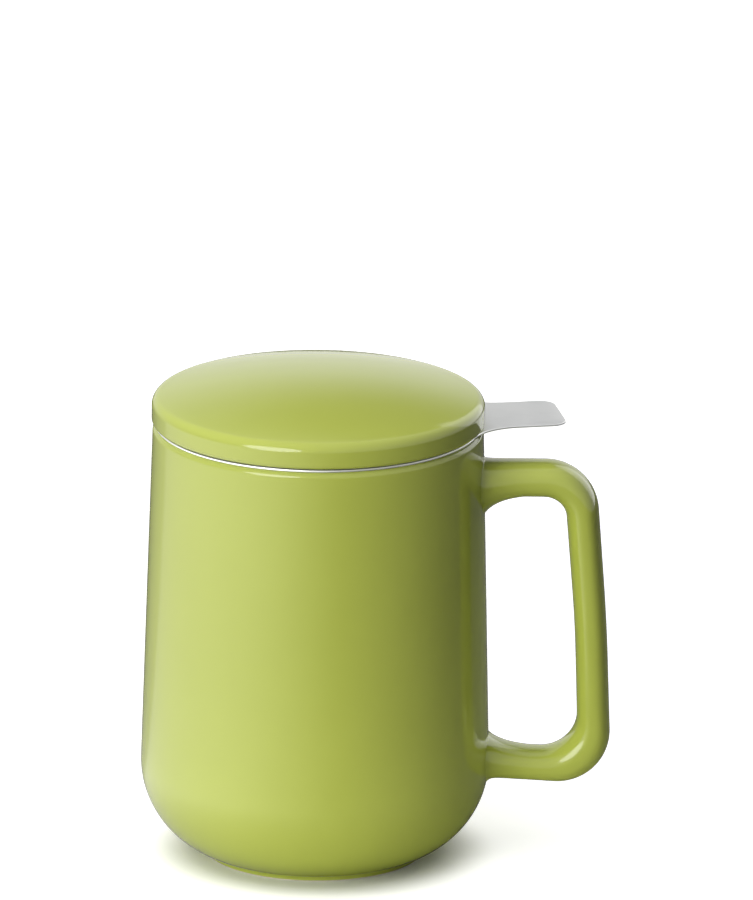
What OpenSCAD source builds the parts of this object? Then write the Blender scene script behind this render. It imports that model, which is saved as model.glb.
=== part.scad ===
// Tall glazed tea mug with a lift-out steel infuser and a domed lid.
// Millimetres, +Z up. The origin is on the mug's axis, in the plane of its foot.
// The handle points along +X.

/* [Mug body] */
// Height of the mug, from its foot to the crown of the lip
mug_height = 117; // [95:1:140]
// Outer radius of the mug at the lip
lip_r = 43.6; // [41:0.1:45.5]
// Outer radius at the widest place, just above the rounded base
belly_r = 46; // [43:0.1:49]
// Radius of the outer rounding between base and wall
base_round = 25; // [20:0.5:28]
// Radius of the inner rounding between floor and wall
inner_round = 20; // [12:0.5:26]
// Thickness of the wall
wall = 4; // [3:0.1:5]
// Thickness of the floor, above the hollow inside the foot
floor_t = 4.4; // [3:0.1:7]
// Width of the flat crown of the lip
lip_flat = 0.8; // [0.4:0.1:1.6]
// Outer radius of the foot ring
foot_r = 29; // [27:0.1:31]
// Width of the foot ring
foot_w = 3.6; // [2.5:0.1:5]
// Height of the hollow inside the foot ring
foot_h = 1.6; // [0.8:0.1:2.4]
// Rounding of the foot ring's two edges
foot_round = 0.6; // [0.2:0.1:0.8]

/* [Handle] */
// Distance from the lip down to the middle of the upper arm
handle_drop = 13.8; // [12:0.1:20]
// Height of the middle of the lower arm above the foot, at its outer corner
handle_foot = 23.9; // [20:0.1:32]
// How much higher the middle of the lower arm is at the wall
arm_fall = 1.1; // [0:0.1:4]
// Room for the fingers between wall and grip, at the top
finger_gap_top = 21.2; // [19:0.1:27]
// Room for the fingers between wall and grip, at the bottom
finger_gap_low = 23.4; // [19:0.1:28]
// How far the grip bows outwards between its corners
grip_bow = 0.9; // [0:0.1:2]
// Thickness of the upper arm, seen from the side
arm_t = 9.2; // [7.5:0.1:11]
// Thickness of the lower arm at its outer corner
low_arm_t = 9.2; // [7.5:0.1:11]
// How much thinner the lower arm is at the wall, under its root
arm_taper = 1.3; // [0:0.1:2.5]
// Thickness of the grip at its lower end, seen from the side
grip_t = 9; // [7.5:0.1:10]
// How much thinner the grip is at its upper end
grip_taper = 1; // [0:0.1:2]
// Width of the handle, across the mug
handle_w = 14.5; // [11:0.1:18]
// Radius of the upper corner, on the side of the fingers
inner_top_r = 6.1; // [4:0.1:8]
// Radius of the upper corner, on the outside
outer_top_r = 14.3; // [10:0.1:16]
// Radius of the lower corner, on the side of the fingers
inner_low_r = 9.8; // [5:0.1:11]
// Radius of the lower corner, on the outside
outer_low_r = 13.6; // [11:0.1:18]

/* [Handle roots] */
// Length of the arm over which it swells to meet the wall
root_len = 10.5; // [5:0.1:11.5]
// How far a root spreads over the wall at either side
root_side = 2.6; // [1:0.1:5]
// How far the upper root spreads upwards
root_up = 0.8; // [0.5:0.1:3]
// How far the lower root spreads downwards
root_down = 2.8; // [0.5:0.1:3]
// How far the upper root spreads towards the fingers
root_in_top = 5.4; // [1:0.1:6]
// How far the lower root spreads towards the fingers
root_in_low = 4; // [1:0.1:6]
// How full the roots are on the side of the fingers: 0 is hollow and 1 is straight
root_fill = 0.4; // [0:0.05:0.8]

/* [Infuser collar] */
// Thickness of the collar's sheet
collar_t = 0.6; // [0.4:0.1:0.8]
// How far the flange's edge stays inside the mug's outer radius
flange_inset = 0.7; // [0.2:0.1:1.5]
// Width of the flat outer band of the flange, outside the raised bead
band_w = 2.1; // [1.5:0.1:2.6]
// Height of the raised bead above the flat band
bead_h = 0.35; // [0.2:0.05:0.6]
// Width of the slope between the flat band and the bead
bead_slope = 0.5; // [0.4:0.1:0.8]
// Gap between the funnel's mouth and the inside of the mug
mouth_gap = 1.1; // [0.6:0.1:2]
// Height of the funnel, from the bead to the basket's neck
funnel_h = 11.5; // [7:0.1:14]
// Bend radius between bead and funnel, at the middle of the sheet
mouth_bend = 1.6; // [0.8:0.1:2]
// Bend radius between funnel and neck, at the middle of the sheet
neck_bend = 2; // [1:0.1:3]
// Length of the neck's straight part, which is welded into the basket
neck_len = 1.7; // [1:0.1:4]

/* [Tab] */
// Length of the tab beyond the flange's edge
tab_len = 22.1; // [16:0.1:28]
// Width of the tab
tab_w = 21.8; // [18:0.1:28]
// Direction of the tab, turned from the handle
tab_turn = 11; // [0:0.5:30]
// Radius of the hollow roundings where the tab leaves the flange
tab_fillet = 15; // [8:0.5:20]
// Radius of the tab's outer corners
tab_corner = 4; // [2:0.1:8]

/* [Basket] */
// Outer radius of the basket
basket_r = 29.1; // [25:0.1:32]
// Thickness of the perforated sheet
basket_t = 0.4; // [0.3:0.05:0.6]
// Depth of the infuser, from the top of its bead to the basket's underside
infuser_depth = 62; // [45:1:85]
// Outer bend radius at the basket's lower edge
basket_bend = 1.4; // [1:0.1:2]
// Width of the lip that the wall turns in under the floor
crimp_w = 3; // [2.6:0.1:5]

/* [Lid] */
// How far the lid's radius exceeds the mug's lip
lid_over = 0.3; // [0:0.1:1.5]
// Height of the lid's side, up to where side and dome would meet
lid_side = 6.6; // [5.5:0.1:10]
// Rise of the dome above the lid's side
lid_rise = 5.4; // [3:0.1:9]
// Rounding between the lid's side and its dome
shoulder = 2.8; // [1:0.1:4]
// Rounding of the lid's lower outer edge
lid_edge = 1; // [0.4:0.1:1.6]
// Thickness of the dome
lid_t = 4.2; // [3:0.1:5]
// Depth of the ring that hangs in the funnel and centres the lid
ring_depth = 2.2; // [1.5:0.1:5]
// Width of that ring at its lower edge
ring_w = 3; // [2:0.1:4]
// Rounding of the ring's lower edges
ring_round = 0.8; // [0.3:0.1:1]
// Gap between the ring and the funnel, square to the funnel
lid_gap = 0.5; // [0.3:0.1:1]

/* [Hidden] */
$fn = 96;

GLAZE = "#b4c35c";
STEEL = "#c9cbcc";
MESH = "#b3b6b8";

// Steps in a round stretch of an outline
corner_steps = 6;
arc_steps = 18;

// Body outline: the wall is a straight taper from belly to lip
wall_lean = (belly_r - lip_r) / (mug_height - base_round);
base_corner = [belly_r + wall_lean * base_round, 0];
lip_corner = [lip_r, mug_height];
lip_round = (wall - lip_flat) / 2;
floor_z = foot_h + floor_t;
base_arc = round_corner([0, 0], base_corner, lip_corner, base_round, arc_steps);
base_flat_r = base_arc[0][0];
base_arc_z = base_arc[arc_steps][1];

// Handle: middles of its four corners, in X and Z
arm_z = mug_height - handle_drop;
root_z = handle_foot + arm_fall;
root_top = [wall_r(arm_z), arm_z];
root_low = [wall_r(root_z), root_z];
grip_top_t = grip_t - grip_taper;
grip_top = [wall_r(arm_z) + finger_gap_top + grip_top_t / 2, arm_z];
grip_low = [wall_r(handle_foot) + finger_gap_low + grip_t / 2, handle_foot];
// Share of the grip's length that its bow takes up, and the steps in that arc
bow_share = 0.5;
bow_steps = 4;
// How deep a root starts below the wall's surface, before it is cut to fit
root_bite = 0.35;
root_cap = 1;
root_steps = 7;
// How late a root's outside leaves the arm's straight line
root_late = 4;
section_sides = 28;
// Power of the section's outline: 2 is an ellipse, more is squarer
section_power = 2.4;

// Collar: corners of the sheet's middle line, in radius and Z
flange_r = lip_r - flange_inset;
band_z = mug_height + collar_t / 2;
bead_z = band_z + bead_h;
bead_r = flange_r - band_w - bead_slope;
mouth_r = lip_r - wall - mouth_gap;
neck_r = basket_r - basket_t - collar_t / 2;
funnel_lean = (mouth_r - neck_r) / funnel_h;
neck_z = bead_z - funnel_h;
neck_turn = atan(funnel_lean);
neck_top = neck_z - neck_bend * tan(neck_turn / 2);
// Bend radius at both ends of the slope up to the bead, and the steps in each bend
step_bend = 0.35;
step_bend_steps = 2;
bead_top = bead_z + collar_t / 2;

// Basket: seated on the neck, its wall turned in under the floor
basket_low = bead_top - infuser_depth;
basket_mid_r = basket_r - basket_t / 2;
basket_mid_z = basket_low + basket_t / 2;
basket_floor_r = basket_r - basket_bend;

// Lid: a shell between two spheres with one centre, over the bead
lid_r = lip_r + lid_over;
dome_r = (pow(lid_r, 2) + pow(lid_rise, 2)) / (2 * lid_rise);
dome_centre_z = bead_top + lid_side + lid_rise - dome_r;
shoulder_z = dome_centre_z + sqrt(pow(dome_r - shoulder, 2) - pow(lid_r - shoulder, 2));
shoulder_turn = atan2(shoulder_z - dome_centre_z, lid_r - shoulder);
ring_z = bead_top - ring_depth;
ring_root_r = inside_funnel_r(bead_top);
ring_tip_r = inside_funnel_r(ring_z);
hollow_r = ring_tip_r - ring_w;
// Rounding between the inside of the ring and the dome
hollow_round = 2.5;

// Direction of v in degrees, and the angle from one heading to another
function heading(v) = atan2(v[1], v[0]);
function turn_between(a, b) = let (d = b - a) d > 180 ? d - 360 : d < -180 ? d + 360 : d;
function left_of(h) = [-sin(h), cos(h)];
function flat(path) = [for (p = path) [p[0], p[1]]];
function beside(path, d) = [for (p = path) [p[0], p[1]] + d * left_of(p[2])];
function backwards(list) = [for (i = [len(list) - 1:-1:0]) list[i]];

// The rounding of corner v between a and b, as points [x, y, heading]
function round_corner(a, v, b, r, steps) =
    let (from = heading(v - a),
         turn = turn_between(from, heading(b - v)),
         side = sign(turn),
         start = v - r * tan(abs(turn) / 2) * [cos(from), sin(from)],
         centre = start + r * side * left_of(from))
    [for (i = [0:steps])
        let (h = from + turn * i / steps, p = centre - r * side * left_of(h))
        [p[0], p[1], h]];

// Outer radius of the mug at height z, and the wall's X at (y, z)
function wall_r(z) = z < base_arc_z
    ? base_flat_r + sqrt(pow(base_round, 2) - pow(base_round - z, 2))
    : belly_r - (z - base_round) * wall_lean;
function wall_x(y, z) = sqrt(pow(wall_r(z), 2) - pow(y, 2));

// Radius, at height z, of a line inside the funnel that keeps lid_gap from its sheet
function inside_funnel_r(z) =
    mouth_r + (z - bead_z) * funnel_lean
    - (collar_t / 2 + lid_gap) * sqrt(1 + pow(funnel_lean, 2));

// Outer side of the mug, from the foot ring up to the lip
function outer_side() = concat(
    [[foot_r, base_round - sqrt(pow(base_round, 2) - pow(foot_r - base_flat_r, 2))]],
    [for (p = base_arc) if (p[0] > foot_r) [p[0], p[1]]]);

module mug_outline() {
    inner_lip = lip_corner - [wall, 0];
    inner_corner = [belly_r - wall + wall_lean * (base_round - floor_z), floor_z];
    foot_in = foot_r - foot_w;
    side = outer_side();
    polygon(concat(
        [[0, foot_h], [foot_in, foot_h]],
        flat(round_corner([foot_in, foot_h], [foot_in, 0], [foot_r, 0], foot_round, corner_steps)),
        flat(round_corner([foot_in, 0], [foot_r, 0], side[0], foot_round, corner_steps)),
        side,
        flat(round_corner(base_corner, lip_corner, inner_lip, lip_round, corner_steps)),
        flat(round_corner(lip_corner, inner_lip, inner_corner, lip_round, corner_steps)),
        flat(round_corner(inner_lip, inner_corner, [0, floor_z], inner_round, arc_steps)),
        [[0, floor_z]]));
}

module mug_body() {
    color(GLAZE) rotate_extrude() mug_outline();
}

// Everything inside the mug's outer surface, up to the lip
module mug_envelope() {
    rotate_extrude() polygon(concat([[0, 0]], outer_side(), [lip_corner, [0, mug_height]]));
}

// One side of the handle as seen from the front, from the upper root round to the
// lower one: out is 1 for the outside of the D and -1 for the side of the fingers
function handle_edge(out) =
    let (top = grip_top + out / 2 * [grip_top_t, arm_t],
         low = grip_low + out / 2 * [grip_t, -low_arm_t],
         mid = (top + low) / 2 + [grip_bow, 0],
         start = root_top + out / 2 * [0, arm_t],
         end = root_low - out / 2 * [0, low_arm_t - arm_taper],
         half_turn = atan(2 * grip_bow / norm(top - mid)),
         bow_r = bow_share * norm(top - mid) / tan(half_turn))
    concat([start, start + [root_len, 0]],
        flat(round_corner(start, top, mid, out > 0 ? outer_top_r : inner_top_r, arc_steps)),
        grip_bow > 0 ? flat(round_corner(top, mid, low, bow_r, bow_steps)) : [],
        flat(round_corner(mid, low, end, out > 0 ? outer_low_r : inner_low_r, arc_steps)),
        [end + (low - end) * root_len / (low[0] - end[0]), end]);

function unit(v) = v / norm(v);
function swell(c) = sign(c) * pow(abs(c), 2 / section_power);

// Section of the handle between a point of its inner side and one of its outer side
function section(inner, outer) = [for (i = [0:section_sides - 1])
    let (a = 360 * i / section_sides,
         p = (inner + outer) / 2 + (outer - inner) / 2 * swell(cos(a)))
    [p[0], handle_w / 2 * swell(sin(a)), p[1]]];

// Root of the handle, from the wall to the arm. Each corner of the section follows a
// curve that leaves along the wall and arrives along the arm. foot holds the corners
// of the arm carried on to the wall and ring those of the arm. up is 1 where the
// outside of the D is above the arm, and -1 where it is below.
function root(foot, ring, up, inward, outward) = [for (k = [0:root_steps - 1])
    [for (i = [0:section_sides - 1])
        let (t = k / root_steps,
             a = 360 * i / section_sides,
             n = unit([cos(a) / arm_t, sin(a) / handle_w]),
             outer = max(0, n[0]),
             inner = max(0, -n[0]),
             spread = root_side * pow(n[1], 2) + inward * pow(inner, 2) + outward * pow(outer, 2),
             y = foot[i][1] + spread * n[1],
             z = foot[i][2] + up * spread * n[0],
             land = [wall_x(y, z) - root_bite, y, z],
             base = [wall_x(foot[i][1], foot[i][2]), foot[i][1], foot[i][2]],
             filled = root_fill * inner * ((land + ring[i]) / 2 - base))
        base + pow(t, 2) * (ring[i] - base)
            + pow(1 - t, 2 + root_late * outer) * (land - base)
            + 2 * t * (1 - t) * filled]];

// Closed skin over a list of rings, with a point to close each end
module skin(rings, first, last) {
    n = len(rings[0]);
    m = len(rings);
    points = concat([for (r = rings) each r], [first, last]);
    sides = [for (k = [0:m - 2], i = [0:n - 1]) let (j = (i + 1) % n) each [
        [k * n + i, k * n + j, (k + 1) * n + j],
        [k * n + i, (k + 1) * n + j, (k + 1) * n + i]]];
    starts = [for (i = [0:n - 1]) [(i + 1) % n, i, m * n]];
    ends = [for (i = [0:n - 1]) [(m - 1) * n + i, (m - 1) * n + (i + 1) % n, m * n + 1]];
    polyhedron(points, concat(sides, starts, ends));
}

module mug_handle() {
    inner = handle_edge(-1);
    outer = handle_edge(1);
    rings = [for (i = [0:len(inner) - 1]) section(inner[i], outer[i])];
    last = len(rings) - 1;
    arm_rings = [for (i = [1:last - 1]) rings[i]];
    upper = root(rings[0], rings[1], 1, root_in_top, root_up);
    lower = root(rings[last], rings[last - 1], -1, root_in_low, root_down);
    color(GLAZE) difference() {
        skin(concat(upper, arm_rings, backwards(lower)),
            [root_top[0] - root_bite - root_cap, 0, arm_z],
            [root_low[0] - root_bite - root_cap, 0, root_z]);
        mug_envelope();
    }
}

// Sheet of thickness t along a middle line of [x, y, heading] points
module sheet(path, t) {
    polygon(concat(beside(path, t / 2), backwards(beside(path, -t / 2))));
}

module collar_sheet() {
    edge = [flange_r, band_z];
    step_low = [bead_r + bead_slope, band_z];
    step_high = [bead_r, bead_z];
    mouth = [mouth_r, bead_z];
    neck = [neck_r, neck_z];
    neck_end = [neck_r, neck_top - neck_len];
    rotate_extrude() sheet(concat(
        [concat(edge, [180])],
        round_corner(edge, step_low, step_high, step_bend, step_bend_steps),
        round_corner(step_low, step_high, mouth, step_bend, step_bend_steps),
        round_corner(step_high, mouth, neck, mouth_bend, corner_steps),
        round_corner(mouth, neck, neck_end, neck_bend, corner_steps),
        [concat(neck_end, [-90])]), collar_t);
}

// Outline of the tab along +X, from the flange's edge to its rounded corners
module tab_outline() {
    half = tab_w / 2;
    end = flange_r + tab_len;
    reach = flange_r + tab_fillet;
    fillet_turn = asin((half + tab_fillet) / reach);
    fillet_x = reach * cos(fillet_turn);
    edge = concat(
        [for (i = [0:arc_steps]) let (a = 180 + fillet_turn + (90 - fillet_turn) * i / arc_steps)
            [fillet_x, half + tab_fillet] + tab_fillet * [cos(a), sin(a)]],
        flat(round_corner([fillet_x, half], [end, half], [end, 0], tab_corner, corner_steps)));
    difference() {
        polygon(concat(edge, [for (p = backwards(edge)) [p[0], -p[1]]]));
        circle(r = flange_r - band_w);
    }
}

module infuser_collar() {
    color(STEEL) union() {
        collar_sheet();
        translate([0, 0, mug_height])
            rotate(tab_turn) linear_extrude(collar_t) tab_outline();
    }
}

module basket_wall() {
    top = [basket_mid_r, neck_top];
    corner = [basket_mid_r, basket_mid_z];
    lip = [basket_r - crimp_w, basket_mid_z];
    bend = basket_bend - basket_t / 2;
    color(MESH) rotate_extrude() sheet(concat(
        [concat(top, [-90])],
        round_corner(top, corner, lip, bend, corner_steps),
        [concat(lip, [-180])]), basket_t);
}

module basket_floor() {
    color(MESH) translate([0, 0, basket_low + basket_t]) cylinder(r = basket_floor_r, h = basket_t);
}

// Height of the sphere of radius r about the dome's centre, at a distance from the axis
function sphere_z(r, from_axis) = dome_centre_z + sqrt(pow(r, 2) - pow(from_axis, 2));

module lid_outline() {
    shell_r = dome_r - lid_t;
    under = [for (i = [0:arc_steps]) let (x = hollow_r * i / arc_steps) [x, sphere_z(shell_r, x)]];
    hollow_top = under[arc_steps];
    hollow_tip = [hollow_r, ring_z];
    ring_tip = [ring_tip_r, ring_z];
    ring_root = [ring_root_r, bead_top];
    rim = [lid_r, bead_top];
    rim_top = [lid_r, shoulder_z];
    polygon(concat(
        [for (p = under) if (p[0] < hollow_r - hollow_round) p],
        flat(round_corner(under[arc_steps - 1], hollow_top, hollow_tip, hollow_round, corner_steps)),
        flat(round_corner(hollow_top, hollow_tip, ring_tip, ring_round, corner_steps)),
        flat(round_corner(hollow_tip, ring_tip, ring_root, ring_round, corner_steps)),
        [ring_root],
        flat(round_corner(ring_root, rim, rim_top, lid_edge, corner_steps)),
        [for (i = [0:corner_steps]) let (a = shoulder_turn * i / corner_steps)
            [lid_r - shoulder, shoulder_z] + shoulder * [cos(a), sin(a)]],
        [for (i = [1:arc_steps]) let (a = shoulder_turn + (90 - shoulder_turn) * i / arc_steps)
            [dome_r * cos(a), dome_centre_z + dome_r * sin(a)]]));
}

module lid() {
    color(GLAZE) rotate_extrude() lid_outline();
}

mug_body();
mug_handle();
infuser_collar();
basket_wall();
basket_floor();
lid();
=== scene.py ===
import math
import bmesh
import bpy
from mathutils import Matrix, Vector


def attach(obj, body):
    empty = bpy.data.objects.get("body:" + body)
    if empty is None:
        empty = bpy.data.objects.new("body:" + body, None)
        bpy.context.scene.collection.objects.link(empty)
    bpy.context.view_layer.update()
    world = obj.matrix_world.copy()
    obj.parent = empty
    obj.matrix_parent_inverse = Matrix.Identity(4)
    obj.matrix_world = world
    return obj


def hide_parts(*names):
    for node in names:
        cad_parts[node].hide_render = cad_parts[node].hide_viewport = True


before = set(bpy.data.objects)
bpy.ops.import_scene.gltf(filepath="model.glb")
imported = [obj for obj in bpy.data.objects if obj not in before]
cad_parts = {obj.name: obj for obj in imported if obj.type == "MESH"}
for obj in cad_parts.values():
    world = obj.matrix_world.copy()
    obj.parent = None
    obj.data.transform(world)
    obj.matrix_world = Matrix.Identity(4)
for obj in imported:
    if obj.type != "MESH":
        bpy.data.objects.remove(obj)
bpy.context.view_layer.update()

scene = bpy.context.scene
mm = 0.001  # sizes below are in millimetres, Blender's are in metres
mergeGap = 0.00001  # metres, points closer than this are one
print("frame loaded:", sorted(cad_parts))


# small tools

def addNode(tree, kind, inputs=None, **settings):
    # an input that is given a node takes that node's first output
    made = tree.nodes.new(kind)
    for name, value in settings.items():
        setattr(made, name, value)
    for key, value in (inputs or {}).items():
        if isinstance(value, bpy.types.Node):
            value = value.outputs[0]
        if isinstance(value, bpy.types.NodeSocket):
            tree.links.new(value, made.inputs[key])
        else:
            made.inputs[key].default_value = value
    return made


def srgb(hexColour):
    parts = [int(hexColour[i:i + 2], 16) / 255 for i in (1, 3, 5)]
    return tuple(c / 12.92 if c <= 0.04045 else ((c + 0.055) / 1.055) ** 2.4 for c in parts) + (1.0,)


def roundCorner(before, corner, after, radius, steps):
    # the rounding of a corner between two straight runs, as points (x, y)
    start = math.atan2(corner[1] - before[1], corner[0] - before[0])
    end = math.atan2(after[1] - corner[1], after[0] - corner[0])
    turn = (end - start + math.pi) % (2 * math.pi) - math.pi
    side = 1 if turn > 0 else -1
    back = radius * math.tan(abs(turn) / 2)
    x = corner[0] - back * math.cos(start) - radius * side * math.sin(start)
    y = corner[1] - back * math.sin(start) + radius * side * math.cos(start)
    headings = [start + turn * i / steps for i in range(steps + 1)]
    return [(x + radius * side * math.sin(h), y - radius * side * math.cos(h)) for h in headings]


def between(a, b, share):
    # the point on the straight line from a to b, at a share of its length
    return tuple(p + (q - p) * share for p, q in zip(a, b))


def spaced(points, gap):
    # the same line with extra points, so that no stretch is longer than the gap
    made = [points[0]]
    for a, b in zip(points, points[1:]):
        count = max(1, math.ceil(math.dist(a, b) / gap))
        made += [between(a, b, k / count) for k in range(1, count + 1)]
    return made


def meshObject(name, points, faces, edges=()):
    mesh = bpy.data.meshes.new(name)
    mesh.from_pydata([tuple(c * mm for c in p) for p in points], list(edges), faces)
    made = bpy.data.objects.new(name, mesh)
    scene.collection.objects.link(made)
    return made


def finishPiece(piece, body, node, material=None):
    # merges doubles, turns every face outwards, and hands the piece to its body
    work = bmesh.new()
    work.from_mesh(piece.data)
    bmesh.ops.remove_doubles(work, verts=work.verts, dist=mergeGap / 2)
    bmesh.ops.recalc_face_normals(work, faces=work.faces)
    if work.calc_volume(signed=True) < 0:
        bmesh.ops.reverse_faces(work, faces=work.faces)
    openEdges = sum(1 for e in work.edges if not e.is_manifold)
    triangles = sum(len(f.verts) - 2 for f in work.faces)
    work.to_mesh(piece.data)
    work.free()
    if material is not None:
        piece.data.materials.clear()
        piece.data.materials.append(material)
    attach(piece, body)
    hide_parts(node)
    print(f"{piece.name}: {triangles} triangles, {openEdges} open edges")


def treeInputs(tree, counts, lengths):
    kinds = [("Geometry", "Geometry")] + [(name, "Int") for name in counts]
    kinds += [(name, "Float") for name in lengths] + [("Material", "Material")]
    for name, kind in kinds:
        tree.interface.new_socket(name, in_out="INPUT", socket_type="NodeSocket" + kind)
    tree.interface.new_socket("Geometry", in_out="OUTPUT", socket_type="NodeSocketGeometry")
    return tree.nodes.new("NodeGroupInput").outputs


def runTree(piece, tree, values):
    # grows the piece from its tree and leaves a plain mesh behind
    modifier = piece.modifiers.new(tree.name, "NODES")
    modifier.node_group = tree
    for item in tree.interface.items_tree:
        if item.item_type == "SOCKET" and item.in_out == "INPUT" and item.name in values:
            modifier[item.identifier] = values[item.name]
    grown = piece.evaluated_get(bpy.context.evaluated_depsgraph_get())
    piece.data = bpy.data.meshes.new_from_object(grown)
    piece.modifiers.clear()


def endTree(tree, geometry, material):
    # the last nodes of every tree
    real = addNode(tree, "GeometryNodeRealizeInstances", {"Geometry": geometry})
    dressed = addNode(tree, "GeometryNodeSetMaterial", {"Geometry": real, "Material": material})
    addNode(tree, "NodeGroupOutput", {0: dressed})


# materials

noiseSpan = (0.3, 0.7)  # most of a noise lies between these

glaze = {
    "body": "#b1bb50",  # lime green where the glaze lies thick
    "pale": "#b5bf54",  # the same glaze a little thinner
    "crown": "#cdd58a",  # paler still over the sharp crown of the lip: thinner glaze there, and in part a painted highlight of the lip's light line
    "clay": "#e6e0d2",  # bare stoneware under foot and lid
    "clouds": 55, "cloudSpan": (0.35, 0.65),  # mm, soft clouds of colour from uneven dipping
    "crownBand": (0.6, 0.05), "crownShare": 0.3,  # mm below the crown, and how much of its colour shows
    "bareBlur": (0.12, 0.2),  # mm, half the soft edge of the glaze, upwards and outwards
    "grit": 0.5, "gritDark": 0.82,  # mm, sand in the bare clay
    "ripple": 26, "rippleDepth": 0.05,  # mm, long waves of the poured surface
    "peel": 3.2, "peelDepth": 0.004,  # mm, orange peel of the fired glaze
    "rough": (0.07, 0.12), "bareRough": 0.75,
}


def newMaterial(name):
    made = bpy.data.materials.new(name)
    made.use_nodes = True
    made.node_tree.nodes.clear()
    return made, made.node_tree


def pointOnPiece(tree):
    # a point's place on its piece, its coordinates and its distance from the upright axis
    place = addNode(tree, "ShaderNodeTexCoord").outputs["Object"]
    axes = addNode(tree, "ShaderNodeSeparateXYZ", {0: place}).outputs
    level = addNode(tree, "ShaderNodeCombineXYZ", {0: axes[0], 1: axes[1]})
    reach = addNode(tree, "ShaderNodeVectorMath", {0: level}, operation="LENGTH").outputs["Value"]
    return place, axes, reach


def glazedStoneware(name, bareBelow, bareWithin, crown):
    # Gloss glaze on cast stoneware: sharp reflections on a deep even colour, a little paler over the crown,
    # where the glaze thins and a highlight is painted in, and bare matt clay where the piece stood in the
    # kiln
    material, tree = newMaterial(name)
    place, axes, reach = pointOnPiece(tree)
    noises = []
    for pattern, detail in (("clouds", 3.0), ("grit", 2.0), ("peel", 1.0), ("ripple", 1.0)):
        noises.append(addNode(tree, "ShaderNodeTexNoise", {
            "Vector": place, "Detail": detail, "Scale": 1 / (glaze[pattern] * mm)}))
    clouds, grit, peel, ripple = noises
    low, high = glaze["cloudSpan"]
    cloudy = addNode(tree, "ShaderNodeMapRange", {0: clouds, 1: low, 2: high})
    glazed = addNode(tree, "ShaderNodeMix", {0: cloudy, 6: srgb(glaze["body"]), 7: srgb(glaze["pale"])},
                     data_type="RGBA").outputs[2]
    # painted highlight, in part: the band just below the crown is paler, for thinner glaze and for the lip's
    # light line
    crownLow, crownHigh = (crown - drop for drop in glaze["crownBand"])
    thinGlazeAndHighlight = addNode(tree, "ShaderNodeMapRange", {
        0: axes[2], 1: crownLow * mm, 2: crownHigh * mm, 4: glaze["crownShare"]},
        interpolation_type="SMOOTHSTEP")
    glazed = addNode(tree, "ShaderNodeMix", {0: thinGlazeAndHighlight, 6: glazed, 7: srgb(glaze["crown"])},
                     data_type="RGBA").outputs[2]
    up, out = glaze["bareBlur"]
    under = addNode(tree, "ShaderNodeMapRange", {
        0: axes[2], 1: (bareBelow + up) * mm, 2: (bareBelow - up) * mm}, interpolation_type="SMOOTHSTEP")
    within = addNode(tree, "ShaderNodeMapRange", {
        0: reach, 1: (bareWithin + out) * mm, 2: (bareWithin - out) * mm})
    bare = addNode(tree, "ShaderNodeMath", {0: under, 1: within}, operation="MULTIPLY")
    low, high = noiseSpan
    gritty = addNode(tree, "ShaderNodeMapRange", {0: grit, 1: low, 2: high, 3: glaze["gritDark"]})
    clay = addNode(tree, "ShaderNodeMix", {0: 1.0, 6: srgb(glaze["clay"]), 7: gritty},
                   data_type="RGBA", blend_type="MULTIPLY").outputs[2]
    colour = addNode(tree, "ShaderNodeMix", {0: bare, 6: glazed, 7: clay}, data_type="RGBA").outputs[2]
    sheen = addNode(tree, "ShaderNodeMapRange", {
        0: peel, 1: low, 2: high, 3: glaze["rough"][0], 4: glaze["rough"][1]})
    rough = addNode(tree, "ShaderNodeMix", {0: bare, 2: sheen, 3: glaze["bareRough"]})
    waves = addNode(tree, "ShaderNodeBump", {
        "Strength": 1.0, "Distance": glaze["rippleDepth"] * mm, "Height": ripple})
    skin = addNode(tree, "ShaderNodeBump", {
        "Strength": 1.0, "Distance": glaze["peelDepth"] * mm, "Height": peel, "Normal": waves})
    shader = addNode(tree, "ShaderNodeBsdfPrincipled", {
        "Base Color": colour, "Roughness": rough, "IOR": 1.5, "Normal": skin})
    addNode(tree, "ShaderNodeOutputMaterial", {"Surface": shader})
    return material


steel = {
    "polished": {"colour": "#e5e6e5", "worn": "#d9dada", "rough": (0.2, 0.38)},  # funnel, then flange
    "sheet": {"colour": "#c8c9c9", "worn": "#bcbdbd", "rough": (0.45, 0.45)},
    "insideShade": "#868787",  # painted shade: the inner side of the rolled sheet is darker, so that its holes look dark
    "satinFrom": (39.2, 40.2),  # mm from the axis, where the funnel's mirror gives way to the satin flange
    "ringsEnd": (43.0, 45.0),  # mm from the axis, the rings stop where the tab leaves the flange
    "ringGap": 0.7,  # mm, rings left by the press tool, drawn coarse so that they show
    "streak": (18.0, 0.45),  # mm, long and across, brushed lines on the tab, drawn coarse as well
    "lineDepth": 0.0004,  # mm
    "smears": 16, "smearSpan": (0.35, 0.7),  # mm, patches where the polish is duller
    "smearRough": 0.03, "lineRough": (-0.03, 0.04),  # added to the roughness
}


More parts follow.
